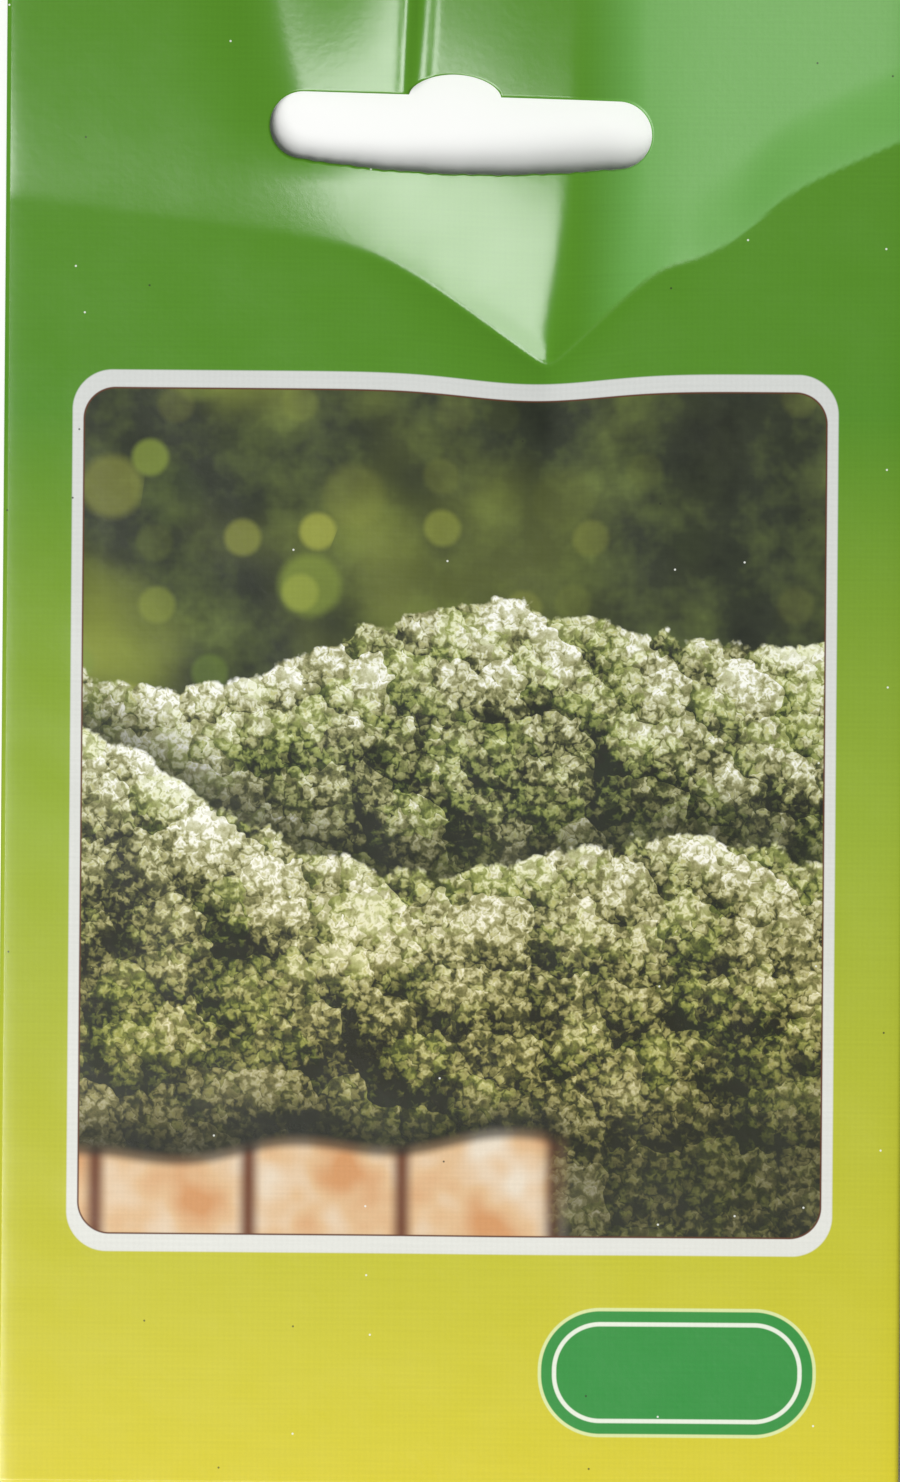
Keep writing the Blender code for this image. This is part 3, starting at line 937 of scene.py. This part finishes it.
def paper_edge():
    """The cut edge: white paper fibres."""
    paint = Paint("paper_edge")
    place = paint.node("ShaderNodeTexCoord", out="Object")
    fibres = paint.noise(place, scale=9000.0, detail=3.0, roughness=0.7)
    colour = paint.mix(srgb(206, 206, 196), srgb(246, 246, 240), fibres)
    relief = paint.bump(fibres, strength=0.4, distance=FIBRE_HEIGHT)
    return paint.finish(Base_Color=colour, Roughness=0.8, Normal=relief)


def inner_film():
    """The sheet's inner face: plain pale film over white paper."""
    paint = Paint("inner_film")
    place = paint.node("ShaderNodeTexCoord", out="Object")
    cloud = paint.noise(place, scale=400.0, detail=3.0, roughness=0.6)
    colour = paint.mix(srgb(226, 226, 218), srgb(240, 240, 234), cloud)
    return paint.finish(Base_Color=colour, Roughness=0.45)


def seed_coat():
    """Brown seeds with pale blotches and fine pits."""
    paint = Paint("seed_coat")
    place = paint.node("ShaderNodeTexCoord", out="Object")
    mottle = paint.noise(place, scale=900.0, detail=3.0, roughness=0.6)
    colour = paint.mix(srgb(112, 62, 26), srgb(186, 128, 66), mottle)
    pits = paint.noise(place, scale=7000.0, roughness=0.6)
    relief = paint.bump(pits, strength=0.5, distance=PIT_HEIGHT)
    return paint.finish(Base_Color=colour, Roughness=0.6, Normal=relief)


def front_map(x, y):
    """Each point's place in the print, 0 to 1, drawn down round the tongue's tip.

    The dip is an exponential up and down from the tip times a Gaussian across."""
    from_tip = y - TONGUE_TIP[1]
    below, above = PRINT_DIP_REACH[0] * MM, PRINT_DIP_REACH[1] * MM
    depth = np.where(from_tip < 0.0, np.exp(from_tip / below), np.exp(-from_tip / above))
    dip = PRINT_DIP * MM * depth * np.exp(-((x / MM - PRINT_DIP_X) / PRINT_DIP_WIDTH) ** 2)
    return np.stack((x / (2 * HALF_WIDTH) + 0.5, (y + dip) / (2 * HALF_HEIGHT) + 0.5), axis=1)


def back_map(x, y):
    """Each point's place in the back's print, 0 to 1, the other way round as it's seen from below."""
    return np.stack((0.5 - x / (2 * HALF_WIDTH), y / (2 * HALF_HEIGHT) + 0.5), axis=1)


def dull_and_sheen_map(x, y):
    """Dullness of the film, 0 to 1, in the header's right part, which isn't drawn tight, and the share of a
    painted
    sheen there: a smooth step to the right times one up from the crease."""
    to_right = smooth_step(span_share(x, LIFT_RIGHT_SPAN))
    dull_and_sheen = to_right * smooth_step((y - crease_y(x)) / DULL_SHEEN_EDGE)
    return np.stack((dull_and_sheen, np.zeros_like(dull_and_sheen)), axis=1)


class PACKET_OT_front(Operator):
    """Makes the printed front sheet with its folds and hang slot"""
    bl_idname = "packet.front"
    bl_label = "Front Sheet"

    def execute(self, context):
        laminate = context.scene.packet_laminate
        flat, faces = slotted_grid(FRONT_COLUMNS, FRONT_ROWS)
        x, y = flat[:, 0], flat[:, 1]
        points = np.stack((x, y, front_top(x, y, laminate)), axis=1)
        maps = {"print": front_map(x, y), "film": dull_and_sheen_map(x, y)}
        printed = front_print(context.scene.packet_print)
        sheet = make_sheet("printed_front", points, faces, maps, laminate.thickness, printed)
        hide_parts("front_sheet")
        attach(sheet, "root")
        return {"FINISHED"}


class PACKET_OT_back(Operator):
    """Makes the back sheet, sealed to the front round its edge"""
    bl_idname = "packet.back"
    bl_label = "Back Sheet"

    def execute(self, context):
        laminate = context.scene.packet_laminate
        flat, faces = slotted_grid(BACK_COLUMNS, BACK_ROWS)
        x, y = flat[:, 0], flat[:, 1]
        points = np.stack((x, y, back_bottom(x, y, laminate)), axis=1)
        maps = {"print": back_map(x, y), "film": dull_and_sheen_map(x, y)}
        printed = back_print(context.scene.packet_print)
        sheet = make_sheet("printed_back", points, faces[:, ::-1], maps, laminate.thickness, printed)
        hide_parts("back_sheet")
        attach(sheet, "root")
        return {"FINISHED"}


def seed_shell():
    """A seed of half length 1: points (cos a sin b, width sin a sin b, depth cos b) on its rings,
    its two poles, and the faces between the rings and to the poles."""
    turns = np.linspace(0, 2 * math.pi, SEED_SIDES + 1)[:-1]
    falls = np.linspace(0, math.pi, SEED_RINGS + 2)[1:-1]
    around, down = np.meshgrid(turns, falls)
    shell = np.stack((np.cos(around) * np.sin(down), SEED_WIDTH * np.sin(around) * np.sin(down),
                      SEED_DEPTH * np.cos(down)), axis=-1).reshape(-1, 3)
    shell = np.concatenate((shell, [[0, 0, SEED_DEPTH], [0, 0, -SEED_DEPTH]]))
    rings = np.arange(SEED_RINGS * SEED_SIDES).reshape(SEED_RINGS, SEED_SIDES)
    after = np.roll(rings, -1, axis=1)
    sides = np.stack((rings[:-1], rings[1:], after[1:], after[:-1]), axis=-1).reshape(-1, 4)
    top = np.stack((rings[0], after[0], np.full(SEED_SIDES, rings.size)), axis=-1)
    bottom = np.stack((after[-1], rings[-1], np.full(SEED_SIDES, rings.size + 1)), axis=-1)
    return shell, sides, np.concatenate((top, bottom))


def seed_places(draw, count, length, laminate):
    """Middles and half lengths of the seeds, spread evenly over an ellipse by the root of a draw,
    each between the front sheet's inner face and the back sheet's."""
    low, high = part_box("seeds")
    centre = np.array((low + high) / 2)
    half = np.array((high - low) / 2)
    share = np.sqrt(draw.uniform(0.0, 1.0, count))
    angle = draw.uniform(0.0, 2 * math.pi, count)
    size = length / 2 * draw.uniform(*SEED_SIZES, count)
    room = half[:2] - length * SEED_EDGE_ROOM
    x = room[0] * share * np.cos(angle) + centre[0]
    y = room[1] * share * np.sin(angle) + centre[1]
    ceiling = front_top(x, y, laminate) - laminate.thickness
    ground = back_bottom(x, y, laminate) + laminate.thickness
    room_up = np.maximum((ceiling - ground) / 2 - length * SEED_FILM_ROOM, 0.0)
    z = (ceiling + ground) / 2 + room_up * draw.uniform(-SEED_SPREAD, SEED_SPREAD, count)
    return np.column_stack((x, y, z)), size


class PACKET_OT_seeds(Operator):
    """Makes the heap of loose seeds in the pouch"""
    bl_idname = "packet.seeds"
    bl_label = "Seeds"

    def execute(self, context):
        settings = context.scene.packet_seeds
        count = settings.count
        draw = np.random.default_rng(SEED_DRAW)
        middle, size = seed_places(draw, count, settings.length, context.scene.packet_laminate)
        turn = draw.uniform(0.0, math.pi, count)
        spin = np.zeros((count, 3, 3))
        spin[:, 0, 0] = np.cos(turn)
        spin[:, 0, 1] = np.sin(turn)
        spin[:, 1, 0] = -np.sin(turn)
        spin[:, 1, 1] = np.cos(turn)
        spin[:, 2, 2] = 1.0
        shell, sides, ends = seed_shell()
        points = (shell[None] * size[:, None, None]) @ spin + middle[:, None]
        offsets = (np.arange(count) * len(shell))[:, None, None]
        quads = (sides[None] + offsets).reshape(-1, 4).tolist()
        triangles = (ends[None] + offsets).reshape(-1, 3).tolist()
        seeds = mesh_from("loose_seeds", points.reshape(-1, 3), quads + triangles)
        seeds.data.materials.append(seed_coat())
        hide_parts("seeds")
        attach(seeds, "root")
        return {"FINISHED"}


def floor_material():
    """A pale matte floor."""
    return Paint("pale_floor").finish(Base_Color=FLOOR_COLOUR, Roughness=0.7)


def soft_light(name, place, size, power):
    """A square area light turned to the origin."""
    lamp = bpy.data.lights.new(name, "AREA")
    lamp.shape = "SQUARE"
    lamp.size = size
    lamp.energy = power
    light = bpy.data.objects.new(name, lamp)
    light.location = place
    light.rotation_euler = (-Vector(place)).to_track_quat("-Z", "Y").to_euler()
    bpy.context.scene.collection.objects.link(light)


def packet_camera(scene):
    """A long lens straight above, so far that the frame's height fits at the frame plane."""
    lens = bpy.data.cameras.new("camera")
    lens.lens = LENS_LENGTH
    lens.clip_start = LENS_NEAR
    half_height = FRAME_PIXELS[1] * PIXEL_SIZE / 2
    away = half_height / (lens.sensor_width / 2 / lens.lens)
    middle_x = (FRAME_PIXELS[0] / 2 - PACKET_MIDDLE_PIXEL[0]) * PIXEL_SIZE
    camera = bpy.data.objects.new("camera", lens)
    camera.location = (middle_x, 0.0, away + FRAME_PLANE)
    camera.rotation_euler = (0.0, 0.0, PACKET_TURN)
    scene.collection.objects.link(camera)
    scene.camera = camera


class PACKET_OT_stage(Operator):
    """Makes the pale floor, the soft lights and the camera"""
    bl_idname = "packet.stage"
    bl_label = "Stage"

    def execute(self, context):
        scene = context.scene
        settings = scene.packet_stage
        corners = np.array(((-1, -1), (1, -1), (1, 1), (-1, 1))) * FLOOR_HALF
        points = np.column_stack((corners, np.full(len(corners), -FLOOR_DROP)))
        floor = mesh_from("floor", points, [(0, 1, 2, 3)])
        floor.data.materials.append(floor_material())
        soft_light("key_light", KEY_PLACE, KEY_SIZE, settings.key_power)
        soft_light("side_light", SIDE_PLACE, SIDE_SIZE, settings.side_power)
        world = bpy.data.worlds.new("room")
        world.use_nodes = True
        back = world.node_tree.nodes["Background"]
        back.inputs["Color"].default_value = ROOM_COLOUR
        back.inputs["Strength"].default_value = settings.sky
        scene.world = world
        scene.view_settings.view_transform = "Standard"
        packet_camera(scene)
        return {"FINISHED"}


class PACKET_PT_panel(Panel):
    """Lists the packet's settings and the operators that make it"""
    bl_idname = "PACKET_PT_panel"
    bl_label = "Seed Packet"
    bl_space_type = "VIEW_3D"
    bl_region_type = "UI"
    bl_category = "Seed Packet"

    def draw(self, context):
        for group_name, _ in GROUPS:
            settings = getattr(context.scene, group_name)
            for name in settings.__annotations__:
                self.layout.prop(settings, name)
        for piece in OPERATORS:
            self.layout.operator(piece.bl_idname)


GROUPS = (
    ("packet_laminate", LaminateSettings),
    ("packet_print", PrintSettings),
    ("packet_seeds", SeedSettings),
    ("packet_stage", StageSettings),
)
OPERATORS = (PACKET_OT_stage, PACKET_OT_front, PACKET_OT_back, PACKET_OT_seeds)


def register():
    for name, group in GROUPS:
        bpy.utils.register_class(group)
        setattr(bpy.types.Scene, name, PointerProperty(type=group))
    for operator in OPERATORS:
        bpy.utils.register_class(operator)
    bpy.utils.register_class(PACKET_PT_panel)


def unregister():
    bpy.utils.unregister_class(PACKET_PT_panel)
    for operator in reversed(OPERATORS):
        bpy.utils.unregister_class(operator)
    for name, group in reversed(GROUPS):
        delattr(bpy.types.Scene, name)
        bpy.utils.unregister_class(group)


def main():
    """Registers the add-on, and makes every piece."""
    register()
    bpy.ops.packet.stage()
    bpy.ops.packet.front()
    bpy.ops.packet.back()
    bpy.ops.packet.seeds()


if __name__ == "__main__":
    main()
